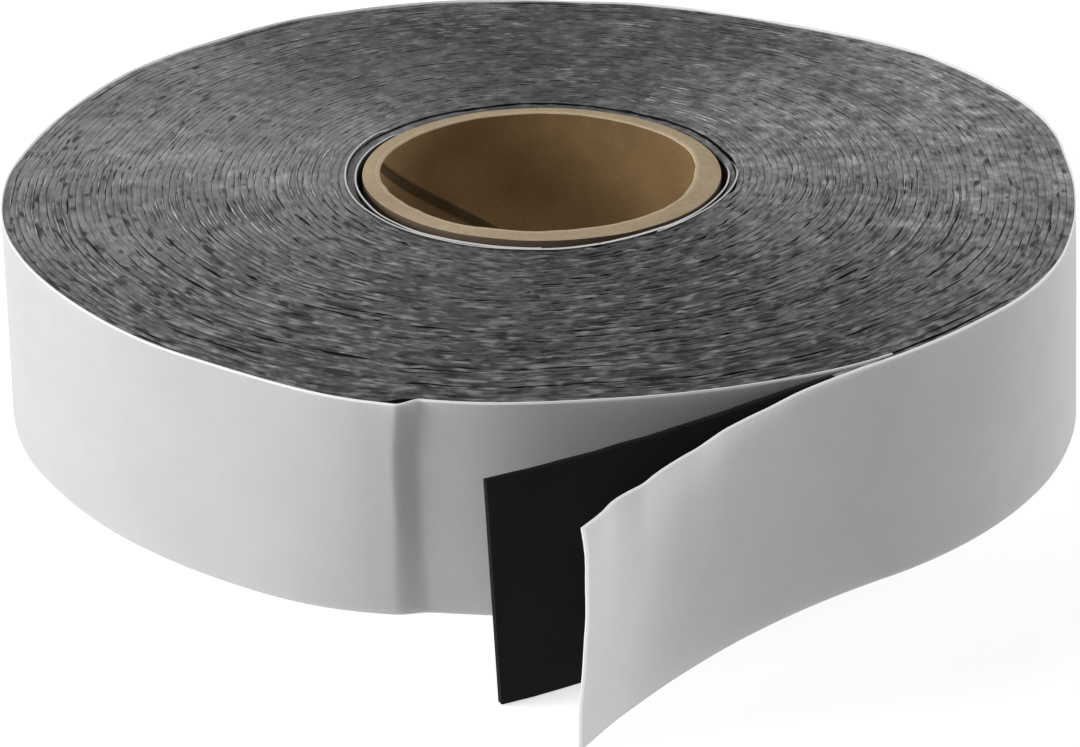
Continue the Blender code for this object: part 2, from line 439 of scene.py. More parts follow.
# Radius of the two turns of liner next to the core, past the leaving point, from the butyl's inner end
CORE_TURNS = (
    (0, 44.0), (26, 43.5), (46, 44.7), (56, 45.3), (76, 45.5), (106, 46.0), (146, 47.4), (186, 47.3),
    (206, 47.2), (221, 46.7), (236, 46.1), (256, 46.1), (271, 46.1), (286, 46.2), (306, 46.2),
    (326, 45.7), (346, 44.1), (360, 43.0), (386, 42.6), (406, 43.1), (416, 43.3), (436, 43.3),
    (466, 43.7), (506, 44.2), (546, 43.3), (566, 43.4), (581, 43.5), (596, 43.6), (616, 44.1),
    (631, 44.8), (646, 45.1), (666, 45.2), (686, 45.0),
)
CORE_TURN_STEP = 1.5
CORE_TURN_BELOW_RIM = 0.15
# Past the leaving point, where those turns sink behind the core's back, over which angles they go down
# and come up again, and how deep
SUNK_FROM = 48.0
SUNK_TO = 205.0
SINKS_OVER = 40.0
RISES_OVER = 20.0
SINKING = 3.0
# The visible breadth of their cut edge, and what is added to it in front of the core and where the
# one turn runs on into the other
EDGE_BREADTH = 0.35
EDGE_BROADER_IN_FRONT = 0.45
EDGE_BROADER_BETWEEN = 0.50
# How far the liner stands off the turn of butyl that it lies on
LINER_OFF_STRIP = 0.03
# How far the turn of butyl between those two turns of liner lies below the butyl's end face, and the
# least thickness that it keeps
INNER_TURN_DROP = 0.45
INNER_TURN_LEAST = 0.08


def core_turns():
    """Angles, radius, edge height, curl and edge breadth of the liner's two turns next to the core."""
    turned = np.arange(CORE_TURN_STEP, CORE_TURNS[-1][0], CORE_TURN_STEP)
    radius = table_value(CORE_TURNS, turned)
    degrees = np.mod(turned, 360.0)
    sunk = smooth(SUNK_FROM, SUNK_FROM + SINKS_OVER, degrees)
    sunk = sunk * (1.0 - smooth(SUNK_TO - RISES_OVER, SUNK_TO, degrees))
    crest = WIDTH - CORE_TURN_BELOW_RIM + 0.12 * noise_line(turned / 9.0, 94) - SINKING * sunk
    curl = 0.25 + 0.30 * arc_window(degrees, 262.0, 330.0, 20.0)
    in_front = arc_window(degrees, 278.0, 332.0, 14.0) * smooth(600.0, 630.0, turned)
    between = smooth(318.0, 330.0, turned) * (1.0 - smooth(365.0, 385.0, turned))
    breadth = EDGE_BREADTH + EDGE_BROADER_IN_FRONT * in_front
    breadth = breadth + EDGE_BROADER_BETWEEN * between
    return turned, radius, crest, curl, breadth


def inner_turn():
    """Angles, radius and thickness of the butyl between the liner's two turns next to the core. It ends
    at the inner one's curled edge, or at its face where that edge has sunk."""
    liner_turned, liner_radius, crest, curl, breadth = core_turns()
    edge = liner_radius + np.where(crest > WIDTH - 1.0, curl + breadth, 0.1)
    turned = np.arange(2.0 * CORE_TURN_STEP, CORE_TURNS[-1][0] - 360.0, CORE_TURN_STEP)
    radius = table_value(CORE_TURNS, turned) - LINER_OFF_STRIP
    inside = np.interp(turned + 360.0, liner_turned, edge)
    return turned, radius, np.maximum(radius - inside, INNER_TURN_LEAST)


def wound_thickness(run, turned, top):
    """Thickness of the strip's upper edge: what the slot and the gaps leave of the turn's pitch."""
    last = turned > 360.0 * (TURNS - 1)
    under = np.where(last, top - STRIP_THICKNESS - LINER_SLOT, wandering_radius(turned + 360.0, 1.0))
    cover = smeared(turned, top)
    gaps = smooth(0.25, 0.9, noise_line(run / 7.5, 11)) * (0.02 + roughness(turned) * 0.75) * (1.0 - cover)
    gaps = gaps + 0.45 * open_gap(turned)
    thickness = np.clip(top - under - LINER_SLOT * (1.0 - 0.7 * cover) - gaps, 0.9, 2.6)
    return np.where(turned < 360.0, STRIP_THICKNESS, thickness)


def strip_course():
    """Length, angle, top and foot radius, thickness and drop of the wound strip, from the leaving point
    to the end of its inner turn by the core."""
    run, turned = wound_turns()
    foot, top = butyl_radius(turned, 0.0), wandering_radius(turned, 1.0)
    thickness = wound_thickness(run, turned, top)
    inner_turned, inner_radius, inner_thickness = inner_turn()
    drop = np.append(np.zeros(len(turned)), np.full(len(inner_turned), INNER_TURN_DROP))
    run = np.append(run, run[-1] + np.radians(inner_turned) * inner_radius)
    turned = np.append(turned, TURNS * 360.0 + inner_turned)
    top, foot = np.append(top, inner_radius), np.append(foot, inner_radius)
    return run, turned, top, foot, np.append(thickness, inner_thickness), drop


def wound_strip():
    """Section points and places of the wound part of the strip, and its radius where it leaves."""
    run, turned, top, foot, thickness, drop = strip_course()
    rough = roughness(turned)
    turn = np.floor(turned / 360.0)
    cover = smeared(turned, top)
    gap_inside, gap_outside = open_gap(turned), open_gap(turned - 360.0)
    crown = (CROWN + CROWN_WHERE_ROUGH * rough) * (1.0 - 0.85 * cover)
    rows = []
    places = []
    for across, shoulder in zip(ROWS_ACROSS, SHOULDER):
        radius = top - across * thickness
        notch_seed = 21 if across < 0.5 else 22
        notch = smooth(0.25, 0.95, noise_line(run / 4.5 + 400.0, notch_seed)) * rough * (1.0 - cover)
        chips = 0.07 * rough * noise_line(run / 2.6 + 131.0 * across, 23)
        gaping = gap_outside if across < 0.5 else gap_inside
        height = FACE_MEAN + face_height(turned, radius, FACE_SEED) + chips - drop
        height = height - shoulder * (crown + 0.8 * notch + 0.9 * gaping)
        height = np.minimum(height, WIDTH - 0.1)
        rows.append(np.column_stack([polar(radius, turned + LEAVE_ANGLE), height]))
        places.append(np.column_stack([run, turn * TURN_STRIDE + across * thickness]))
    for across in ROWS_UNDER:
        radius = foot - across * thickness
        rounded = 0.0 if across == 0.5 else 0.25
        height = FACE_RAISED + rounded + 0.6 * np.abs(face_height(turned, radius, UNDERSIDE_SEED))
        rows.append(np.column_stack([polar(radius, turned + LEAVE_ANGLE), height]))
        places.append(np.column_stack([run, turn * TURN_STRIDE + across * thickness + UNDERSIDE]))
    return np.stack(rows, 1), np.stack(places, 1), float(top[0])


def strip_end(radius):
    """Section points and places of the strip's free end, from the leaving point to the cut."""
    run, place, along, outwards = free_path(radius, STRIP_BENDS, TAIL_STEPS)
    share = (run / run[-1]) ** 2
    shift = share[:, None] * (STRIP_LEAN * outwards + STRIP_SLANT * along)
    rows = []
    places = []
    for across, shoulder in zip(ROWS_ACROSS, SHOULDER):
        plan = place + shift - across * STRIP_THICKNESS * outwards
        height = WIDTH - FACE_BELOW_RIM * (1.0 - smooth(0.0, TAIL_RISES_OVER, run))
        height = height - TAIL_BELOW_RIM - TAIL_CROWN * shoulder
        height = height + TAIL_WAVES * noise_line(run / 6.0 + 40.0, 61)
        rows.append(np.column_stack([plan, height]))
        places.append(np.column_stack([-run, np.full(len(run), across * STRIP_THICKNESS)]))
    for across in ROWS_UNDER:
        plan = place - across * STRIP_THICKNESS * outwards
        height = 0.05 + TAIL_WAVES * (1.0 + noise_line(run / 3.5 + 80.0, 62)) * share
        rows.append(np.column_stack([plan, height]))
        places.append(np.column_stack([-run, np.full(len(run), UNDERSIDE + across * STRIP_THICKNESS)]))
    return np.stack(rows, 1), np.stack(places, 1)


def strip_piece(cut_face, flat_face):
    """The whole strip as one piece. Its cut edges are dusty and smeared, with painted light, painted
    glints and painted pit shade on them, but not those of the free end, which have the flat faces' finish."""
    wound, wound_places, radius = wound_strip()
    free, free_places = strip_end(radius)
    points = np.concatenate([free[:0:-1], wound])
    places = np.concatenate([free_places[:0:-1], wound_places])
    cut_edges = [0] * (len(ROWS_ACROSS) - 1) + [1] + [0] * (len(ROWS_UNDER) - 1) + [1]
    finish = np.tile(cut_edges, (len(points) - 1, 1))
    clean = int(TAIL_STEPS * (1.0 - TAIL_CLEAN_FROM / sum(arc for arc, turn in STRIP_BENDS)))
    finish[:clean] = 1
    piece = skin("butyl_strip", points, [cut_face, flat_face], finish, cap_finish=1, places=places)
    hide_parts("butyl_tape")
    return piece


# The release liner

# The outermost turn and its peeled end: rows up the wall, the height of the band on top that has the
# cut edge's finish, steps along the peeled end, and steps round the turn, finer at the crease
WALL_ROWS = 20
TOP_BAND = 0.45
PEELED_STEPS = 96
TURN_STEP = 0.9
CREASE_STEP = 0.25
FINE_FROM = 300.0
FINE_TO = 322.0
# On its last stretch the tucked inner end's top edge drops by this much
TUCKED_FROM = 344.0
TUCKED_DROP = 0.65
# The liner's unevenness, and the length over which the peeled end takes over from the roll's wall
UNEVEN = 0.12
PEELED_BLENDS = 45.0
# Height of the wound liner's lower edge, and of the stretch under its upper edge that curls over
WINDINGS_LOW = 0.3
CURL_DEPTH = 1.3


def liner_end(level):
    """Outer and inner plan places of the peeled end at one level of its width."""
    middle_radius = float(outline(np.array(0.0), 0.5))
    run, place, along, outwards = free_path(middle_radius + LIFT, LINER_BENDS, PEELED_STEPS)
    share = (run / run[-1]) ** 2
    off = float(table_value(TAIL_BOW, level)) * share
    off = off + table_value(TAIL_STRAY, run) * level**3
    off = off + UNEVEN * noise_line(run / 9.0 + 3.0 * level, 71) * share
    from_middle = float(outline(np.array(0.0), level)) - middle_radius
    off = off + from_middle * (1.0 - smooth(0.0, PEELED_BLENDS, run))
    outer = place + (level * share)[:, None] * (LINER_LEAN * outwards + LINER_SLANT * along)
    outer = outer + off[:, None] * outwards
    return outer, outer - LINER_THICKNESS * outwards


def liner_turn(level):
    """Outer and inner plan places of the outermost turn at one level of its width, and its height."""
    turned = np.concatenate([
        np.arange(0.0, FINE_FROM, TURN_STEP),
        np.arange(FINE_FROM, FINE_TO, CREASE_STEP),
        np.arange(FINE_TO, 360.0 + TUCK, TURN_STEP),
    ])
    radius = outline(np.minimum(turned, 360.0), level) + lift(turned) + crease(turned, level)
    uneven = noise_plane(turned / 7.0 + 20.0, np.full_like(turned, level * 1.6), 81)
    radius = radius + UNEVEN * uneven * smooth(0.0, 12.0, turned)
    height = level * (WIDTH - TUCKED_DROP * smooth(TUCKED_FROM, 360.0, turned))
    around = turned + LEAVE_ANGLE
    return polar(radius, around), polar(radius - LINER_THICKNESS, around), height


def liner_skin_piece(paper, cut_edge):
    """The outermost turn of liner with its peeled end. The finish of its cut edges reaches a little
    way down its faces."""
    outer = []
    inner = []
    for level in (*np.linspace(0.0, 1.0 - TOP_BAND / WIDTH, WALL_ROWS), 1.0):
        free_outer, free_inner = liner_end(level)
        wound_outer, wound_inner, wound_height = liner_turn(level)
        height = np.append(np.full(len(free_outer) - 1, level * WIDTH), wound_height)
        for side, free, wound in ((outer, free_outer, wound_outer), (inner, free_inner, wound_inner)):
            plan = np.vstack([free[:0:-1], wound])
            side.append(np.column_stack([plan, height]))
    section = [outer[-1]] + inner[::-1] + outer[:-1]
    finish = np.zeros((len(section[0]) - 1, len(section)), int)
    finish[:, [0, 1, WALL_ROWS + 1, -1]] = 1
    finish[0] = 1
    # The cut edges' finish has a painted glow.
    piece = skin("release_liner_outer", np.stack(section, 1), [paper, cut_edge], finish, cap_finish=1)
    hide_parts("release_liner")
    return piece


def windings_course():
    """Angles, top and foot radius, height and curl of the liner between the turns of butyl."""
    run, turned = wound_turns()
    keep = turned > 360.0 + TUCK + 1.0
    run, turned = run[keep], turned[keep]
    rough = roughness(turned)
    top, foot = wandering_radius(turned, 1.0), butyl_radius(turned, 0.0)
    crest = FACE_MEAN + face_height(turned, top, FACE_SEED)
    crest = crest + table_value(PROUD_ROUND, from_east(turned)) - 0.50 * smeared(turned, top)
    crest = crest + (0.08 + 0.20 * rough) * noise_line(run / 8.0 + 90.0, 91)
    crest = crest + 0.10 * noise_line(run / 3.0 + 90.0, 92)
    curl = rough * 0.35 * smooth(0.2, 0.9, noise_line(run / 10.0 + 30.0, 93))
    return turned, top, foot, crest, curl


def liner_windings_piece(smudged_shaded_edge, paper, painted_shade_side):
    """The liner between the turns of butyl and round the core, seen as thin edges on both ends. Round the
    core its cut edge is clean paper and its sides are dark grey, painted shade in the narrow gaps there."""
    turned, top, foot, crest, curl = windings_course()
    core_turned, core_radius, core_crest, core_curl, core_breadth = core_turns()
    core_start = len(turned)
    breadth = np.append(np.full(core_start, INNER_LINER_THICKNESS), core_breadth)
    turned = np.append(turned, TURNS * 360.0 + core_turned)
    top, foot = np.append(top, core_radius), np.append(foot, core_radius)
    crest = np.minimum(np.append(crest, core_crest), WIDTH + 0.1)
    curl = np.append(curl, core_curl)

    near, far = LINER_OFF_STRIP, LINER_OFF_STRIP + INNER_LINER_THICKNESS
    low = np.full(len(turned), WINDINGS_LOW)
    section = (
        (top + near + breadth + curl, crest),
        (top + near + curl * 0.8, crest + 0.02),
        (top + near, crest - CURL_DEPTH),
        (foot + near, low),
        (foot + far, low),
        (top + far, crest - CURL_DEPTH),
    )
    finish = np.zeros((len(turned) - 1, len(section)), int)
    # Round the core the liner's sides take the dark grey of painted shade.
    finish[core_start:] = 2
    finish[core_start:, 0] = 1
    rows = [np.column_stack([polar(radius, turned + LEAVE_ANGLE), height]) for radius, height in section]
    piece = skin("release_liner_windings", np.stack(rows, 1), [smudged_shaded_edge, paper, painted_shade_side], finish)
    return piece


# The cardboard tube

# How far the tube's axis lies from the roll's, in plan
TUBE_SHIFT = (-0.3, 0.6)
TUBE_COLUMNS = 360
BORE_ROWS = 96
# Radius of the bore's rim at angles from the +X axis, from the axis of the roll
BORE_RIM = (
    (0, 35.9), (20, 37.4), (50, 37.8), (90, 38.6), (130, 38.3), (150, 38.2), (180, 38.2), (200, 37.4),
    (215, 37.0), (230, 37.1), (250, 36.8), (270, 36.5), (290, 36.1), (310, 36.2), (330, 35.9), (345, 35.6),
    (360, 35.9),
)
# Below the rim the bore is half as far out of round: its mean radius there, and the depth from which
# it is like that
BORE_BELOW_RIM = 37.6
RIM_DEPTH = 7.0
# The seam of the tube's innermost ply: a groove that winds down the bore from an angle at the rim, and
# falls by so many millimetres a degree
SEAM_TOP_ANGLE = 170.9
SEAM_FALL = 0.465
SEAM_WIDTH = 2.6
SEAM_DEPTH = 0.45


def below_seam(degrees, height):
    """Distance of a place in the bore below the seam's upper edge, square to the seam."""
    seam = WIDTH - (SEAM_TOP_ANGLE - degrees) * SEAM_FALL
    slope = SEAM_FALL / math.radians(BORE_BELOW_RIM)
    return (seam - height) / math.hypot(1.0, slope)


def tube_piece(*finishes):
    """The tube, from its end's, bore's, lip's and outside's finish: the lip is paler, a painted highlight
    on its rounded edge, and the outside is dark brown, painted shade for the narrow gap round the tube.
    Its section runs from the bore's foot outwards, up the outside, over the rim and down the bore."""
    on_end, in_bore, on_highlit_lip, shaded_outside = range(4)
    degrees = np.arange(TUBE_COLUMNS) * 360.0 / TUBE_COLUMNS
    rim = table_value(BORE_RIM, degrees) + 0.15 * noise_line(degrees / 5.0, 95)
    middle = BORE_BELOW_RIM + 0.5 * (table_value(BORE_RIM, degrees) - BORE_BELOW_RIM)
    outside = np.full(TUBE_COLUMNS, CORE_RADIUS)
    top = WIDTH + 0.06 * noise_line(degrees / 11.0, 96) - 0.06
    section = [
        (middle + 0.4, 0.0), (outside - 0.5, 0.0), (outside - 0.1, 0.15), (outside, 0.6),
        (outside, WIDTH - 0.6), (outside - 0.12, top - 0.10), (outside - 0.4, top),
        (rim + 1.1, top - 0.04), (rim + 0.8, top), (rim + 0.2, top - 0.02), (rim, top - 0.25),
    ]
    # The lip's finish is paler, a painted highlight, and the outside's is dark brown, painted shade.
    finish = [on_end] * 2 + [shaded_outside] * 3 + [on_end] * 2 + [on_highlit_lip] * 3
    for share in np.linspace(0.0, 1.0, BORE_ROWS):
        height = (WIDTH - 0.8) * (1.0 - share) + 0.4 * share
        radius = middle + (rim - middle) * (1.0 - smooth(0.0, RIM_DEPTH, WIDTH - height))
        below = below_seam(degrees, height)
        groove = smooth(0.0, 0.5, below) * (1.0 - smooth(SEAM_WIDTH - 0.3, SEAM_WIDTH + 0.5, below))
        section.append((radius + SEAM_DEPTH * groove, height))
        finish.append(in_bore)
    finish.append(on_end)
    rows = []
    places = []
    for radius, height in section:
        plan = polar(radius, degrees)
        plan = plan + np.array(TUBE_SHIFT) * (radius / CORE_RADIUS)[:, None]
        height = np.broadcast_to(height, degrees.shape)
        rows.append(np.column_stack([plan, height]))
        places.append(np.column_stack([below_seam(degrees, height), height]))
    points = np.stack(rows, 1)
    piece = skin("cardboard_tube", points, finishes, finish, closed=True, places=np.stack(places, 1))
    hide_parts("cardboard_core")
    return piece


# Materials

def principled(name):
    made = bpy.data.materials.new(name)
    made.use_nodes = True
    return made, made.node_tree, made.node_tree.nodes["Principled BSDF"]


def add(tree, kind, inputs=None, **settings):
    """A node with its settings and its inputs, which are values or other nodes' outputs."""
    made = tree.nodes.new(kind)
    for key, value in settings.items():
        setattr(made, key, value)
    for key, value in (inputs or {}).items():
        if isinstance(value, bpy.types.NodeSocket):
            tree.links.new(value, made.inputs[key])
        else:
            made.inputs[key].default_value = value
    return made


def ramp(tree, share, stops):
    """A colour ramp over a share from 0 to 1. stops are positions and greys or colours."""
    made = add(tree, "ShaderNodeValToRGB", {0: share})
    elements = made.color_ramp.elements
    while len(elements) < len(stops):
        elements.new(0.5)
    for element, (position, colour) in zip(elements, stops):
        element.position = position
        element.color = (colour, colour, colour, 1.0) if isinstance(colour, float) else (*colour, 1.0)
    return made.outputs["Color"]


def mixed(tree, factor, first, second, blend="MIX"):
    """Two colours mixed. Each is a value or another node's output."""
    made = add(tree, "ShaderNodeMix", data_type="RGBA", blend_type=blend)
    for key, value in ((0, factor), (6, first), (7, second)):
        if isinstance(value, bpy.types.NodeSocket):
            tree.links.new(value, made.inputs[key])
        else:
            made.inputs[key].default_value = value
    return made.outputs[2]


def maths(tree, operation, first, second, third=0.0):
    return add(tree, "ShaderNodeMath", {0: first, 1: second, 2: third}, operation=operation).outputs[0]


def rescaled(tree, x, low, high, at_low, at_high):
    return add(tree, "ShaderNodeMapRange", {0: x, 1: low, 2: high, 3: at_low, 4: at_high}).outputs[0]


def bumped(tree, height, strength, distance, under=None):
    """A surface with bumps up to a distance in metres, on top of another's bumps if those are given."""
    inputs = {"Height": height, "Strength": strength, "Distance": distance}
    if under is not None:
        inputs["Normal"] = under
    return add(tree, "ShaderNodeBump", inputs).outputs["Normal"]


def dress(tree, shader, base, bumps, rough, specular):
    """Gives the shader its colour, its bumps and how it shines."""
    tree.links.new(base, shader.inputs["Base Color"])
    tree.links.new(bumps, shader.inputs["Normal"])
    shader.inputs["Roughness"].default_value = rough
    shader.inputs["Specular IOR Level"].default_value = specular


def stretched_noise(tree, place, scale, detail=3.0, rough=0.6):
    """Noise over a place whose axes are stretched by a scale in turns per millimetre."""
    mapped = add(tree, "ShaderNodeVectorMath", {0: place, 1: scale}, operation="MULTIPLY")
    made = add(tree, "ShaderNodeTexNoise",
               {"Vector": mapped.outputs[0], "Scale": 1.0, "Detail": detail, "Roughness": rough})
    return made.outputs["Fac"]


def in_millimetres(tree):
    """The surface's own place in millimetres."""
    place = add(tree, "ShaderNodeTexCoord").outputs["Object"]
    return add(tree, "ShaderNodeVectorMath", {0: place, 1: (1000.0,) * 3}, operation="MULTIPLY").outputs[0]


def round_the_roll(tree):
    """How far a place lies towards +X and towards +Y of the roll's axis, each from -1 to 1, and its
    distance from the axis in metres."""
    place = add(tree, "ShaderNodeTexCoord").outputs["Object"]
    from_axis = add(tree, "ShaderNodeVectorMath", {0: place, 1: tuple(AXIS)}, operation="SUBTRACT")
    level = add(tree, "ShaderNodeVectorMath", {0: from_axis.outputs[0], 1: (1.0, 1.0, 0.0)},
                operation="MULTIPLY").outputs[0]
    unit = add(tree, "ShaderNodeVectorMath", {0: level}, operation="NORMALIZE").outputs[0]
    radius = add(tree, "ShaderNodeVectorMath", {0: level}, operation="LENGTH").outputs["Value"]
    parts = add(tree, "ShaderNodeSeparateXYZ", {0: unit})
    return parts.outputs["X"], parts.outputs["Y"], radius


WHITE = (1.0, 1.0, 1.0, 1.0)
PAPER_TINT = (1.0, 0.997, 0.980)
# The fine grain of paper and of butyl's flat faces, in turns per millimetre
PAPER_GRAIN = (1.3, 1.3, 1.3)
BUTYL_GRAIN = (1.1, 1.1, 1.1)


def paper_material(name, grey, glow_through, painted_edge_glow=0.0):
    """Smooth release paper. glow_through is the share of light that spreads inside it, and the edge glow
    is painted light: a glow that makes a thin cut edge look brighter."""
    made, tree, shader = principled(name)
    place = in_millimetres(tree)
    cloud = stretched_noise(tree, place, (0.045, 0.045, 0.045))
    grain = stretched_noise(tree, place, PAPER_GRAIN)
    warm = np.array(PAPER_TINT) * grey
    tint = ramp(tree, cloud, ((0.35, tuple(0.955 * warm)), (0.65, tuple(warm))))
    fine = ramp(tree, grain, ((0.3, 0.975), (0.7, 1.0)))
    base = mixed(tree, 1.0, tint, fine, "MULTIPLY")
    dress(tree, shader, base, bumped(tree, grain, 0.12, 0.0001), 0.5, 0.25)
    shader.inputs["Subsurface Weight"].default_value = glow_through
    shader.inputs["Subsurface Radius"].default_value = (1.0, 1.0, 1.0)
    shader.inputs["Subsurface Scale"].default_value = 0.002
    shader.inputs["Emission Color"].default_value = WHITE
    # Painted glow: the cut edge gives off a little light so that it looks brighter.
    shader.inputs["Emission Strength"].default_value = painted_edge_glow
    return made


def smudged_shaded_edge_material():
    """The liner's edges between the turns, here and there smudged with butyl, and with painted shade that
    makes them dimmer in front.
    """
    made, tree, shader = principled("liner_smudged_shaded_edge")
    place = in_millimetres(tree)
    smudge = stretched_noise(tree, place, (0.22, 0.22, 0.22))
    base = ramp(tree, smudge, ((0.38, 0.20), (0.50, 0.46), (0.62, 0.76)))
    north = round_the_roll(tree)[1]
    # Painted shade: the edges are made dimmer towards the front.
    base = mixed(tree, 1.0, base, rescaled(tree, north, -0.1, -0.7, 1.0, 0.5), "MULTIPLY")
    bumps = bumped(tree, stretched_noise(tree, place, PAPER_GRAIN), 0.3, 0.0002)
    dress(tree, shader, base, bumps, 0.55, 0.3)
    return made


# The cut face: greys along its grain, where it is calm, of its light flecks, which are painted glints, of
# its pits, which are painted shade, and its tint in front
GRAIN_GREYS = ((0.34, 0.065), (0.45, 0.135), (0.56, 0.215), (0.66, 0.34))
CALM_GREY = (0.18, 0.18, 0.18, 1.0)
PAINTED_GLINT_GREY = (0.37, 0.37, 0.365, 1.0)
PAINTED_PIT_SHADE_GREY = (0.026, 0.026, 0.025, 1.0)
FRONT_TINT = (1.01, 0.985, 0.955, 1.0)
# Over a noise, how far the painted glints and the painted pit shade cover the face
PAINTED_GLINTS = ((0.56, 0.0), (0.74, 0.85))
PAINTED_PIT_SHADES = ((0.31, 0.92), (0.43, 0.0))


def painted_side_light(tree, east, north):
    """Painted light: how much paler the cut face is, most at the roll's sides, least in front."""
    east_square = maths(tree, "MULTIPLY", east, east)
    to_sides = maths(tree, "MULTIPLY_ADD", east_square, 2.0, -1.0)
    to_back_corners = maths(tree, "MULTIPLY", east_square, north)
    side_light = maths(tree, "MULTIPLY_ADD", to_sides, 0.145, 0.685)
    side_light = maths(tree, "MULTIPLY_ADD", side_light, to_sides, 1.12)
    return maths(tree, "MULTIPLY_ADD", to_back_corners, 0.52, side_light)


def busyness(tree, north, radius):
    """What is added to the noise of the painted glints and the painted pit shade: more in front and near
    the rim.
    """
    in_front = rescaled(tree, north, 0.1, -0.8, -0.06, 0.025)
    near_rim = rescaled(tree, radius, 0.060, 0.115, -0.015, 0.035)
    return maths(tree, "ADD", in_front, near_rim)


def cut_face_material():
    """The cut edges of the butyl: dark, dusty and smeared, with streaks along the tape, painted light that
    is paler at the roll's sides, painted glints and painted shade in pits.
    """
    made, tree, shader = principled("butyl_cut_face")
    place = add(tree, "ShaderNodeUVMap", uv_map="Place").outputs["UV"]
    world = in_millimetres(tree)
    east, north, radius = round_the_roll(tree)
    streak = stretched_noise(tree, place, (0.22, 0.55, 1.0), 2.0, 0.6)
    blotch = stretched_noise(tree, world, (0.25, 0.25, 0.25), 3.0, 0.6)
    cloud = stretched_noise(tree, world, (0.035, 0.035, 0.035), 2.0, 0.5)
    glint_noise = stretched_noise(tree, place, (0.20, 0.36, 1.0), 1.0, 0.5)
    pit_shade_noise = stretched_noise(tree, place, (0.16, 0.42, 3.0), 1.0, 0.5)
    streaky = rescaled(tree, north, 0.6, -0.7, 0.25, 0.50)
    calm = rescaled(tree, east, -0.3, -0.9, 0.0, 0.5)
    busy = busyness(tree, north, radius)

    straight = ((0.0, 0.0), (1.0, 1.0))
    grain = mixed(tree, streaky, ramp(tree, blotch, straight), ramp(tree, streak, straight))
    base = mixed(tree, calm, ramp(tree, grain, GRAIN_GREYS), CALM_GREY)
    base = mixed(tree, 1.0, base, ramp(tree, cloud, ((0.3, 0.74), (0.7, 1.24))), "MULTIPLY")
    # Painted light: the cut face is made paler at the roll's sides and darker in front and behind.
    base = mixed(tree, 1.0, base, painted_side_light(tree, east, north), "MULTIPLY")
    # Painted highlights: pale glints, as if small facets caught the lamps.
    base = mixed(tree, ramp(tree, maths(tree, "ADD", glint_noise, busy), PAINTED_GLINTS), base, PAINTED_GLINT_GREY)
    # Painted shade: near-black spots, as if pits in the face lay in shadow.
    base = mixed(tree, ramp(tree, maths(tree, "SUBTRACT", pit_shade_noise, busy), PAINTED_PIT_SHADES), base, PAINTED_PIT_SHADE_GREY)
    warmth = mixed(tree, rescaled(tree, north, 0.2, -0.6, 0.0, 1.0), WHITE, FRONT_TINT)
    base = mixed(tree, 1.0, base, warmth, "MULTIPLY")
    bumps = bumped(tree, streak, 0.6, 0.0005)
    bumps = bumped(tree, blotch, 0.5, 0.0004, under=bumps)
    dress(tree, shader, base, bumps, 0.5, 0.5)
    return made


def flat_face_material():
    """The butyl's flat faces: clean, matt and nearly black."""
    made, tree, shader = principled("butyl_flat_face")
    place = in_millimetres(tree)
    cloud = stretched_noise(tree, place, (0.08, 0.08, 0.08))
    base = ramp(tree, cloud, ((0.3, (0.0056, 0.0052, 0.0045)), (0.7, (0.0080, 0.0075, 0.0065))))
    bumps = bumped(tree, stretched_noise(tree, place, BUTYL_GRAIN), 0.25, 0.0002)
    dress(tree, shader, base, bumps, 0.7, 0.16)
    return made


def cardboard_material(name, dull, light, seam=1.0):
    """Cardboard between two tints. seam is how much of its colour the bore's seam keeps, a band of painted
    shade along the seam's groove.
    """
    made, tree, shader = principled(name)
    place = in_millimetres(tree)
    cloud = stretched_noise(tree, place, (0.06, 0.06, 0.06))
    fibre = stretched_noise(tree, place, (0.8, 0.8, 2.4), 4.0, 0.7)
    base = mixed(tree, ramp(tree, cloud, ((0.3, 0.0), (0.7, 1.0))), (*dull, 1.0), (*light, 1.0))
    base = mixed(tree, 1.0, base, ramp(tree, fibre, ((0.3, 0.86), (0.7, 1.08))), "MULTIPLY")
    if seam < 1.0:
        below = add(tree, "ShaderNodeUVMap", uv_map="Place").outputs["UV"]
        below = add(tree, "ShaderNodeSeparateXYZ", {0: below}).outputs["X"]
        share = rescaled(tree, below, -1.0, 4.0, 0.0, 1.0)
        # Painted shade: the band along the seam's groove is darker than the rest of the bore.
        band = ramp(tree, share, ((0.15, 1.0), (0.24, seam), (0.64, seam), (0.77, 1.0)))
        base = mixed(tree, 1.0, base, band, "MULTIPLY")
    dress(tree, shader, base, bumped(tree, fibre, 0.25, 0.0002), 0.85, 0.2)
    return made


# The studio

# The floor's and the lights' sizes and distances are in metres, and the camera's in millimetres
FLOOR_GLOW = 0.58
FLOOR_REACH = 6.0
FLOOR_DROP = 0.0002
SKY_ABOVE = 0.345
SKY_BELOW = 0.615
# Each light's azimuth from the +X axis, elevation and power
KEY_LIGHT = (195.0, 20.0, 17.2)
FILL_LIGHT = (32.0, 7.0, 12.7)
LIGHT_DISTANCE = 1.6
LIGHT_SIZE = 0.8
LIGHTS_AIM_HEIGHT = 0.03
# The photo's camera: the point that it would look at without its pan and tilt, and its place from there
CAMERA_LOOKS_AT = (0.0, 0.0, 25.0)
CAMERA_DISTANCE = 749.35
CAMERA_ELEVATION = 23.492
CAMERA_PAN = 0.073
CAMERA_TILT = 1.826
CAMERA_ROLL = -0.194
CAMERA_LENS = 104.565
CAMERA_SENSOR = 36.0


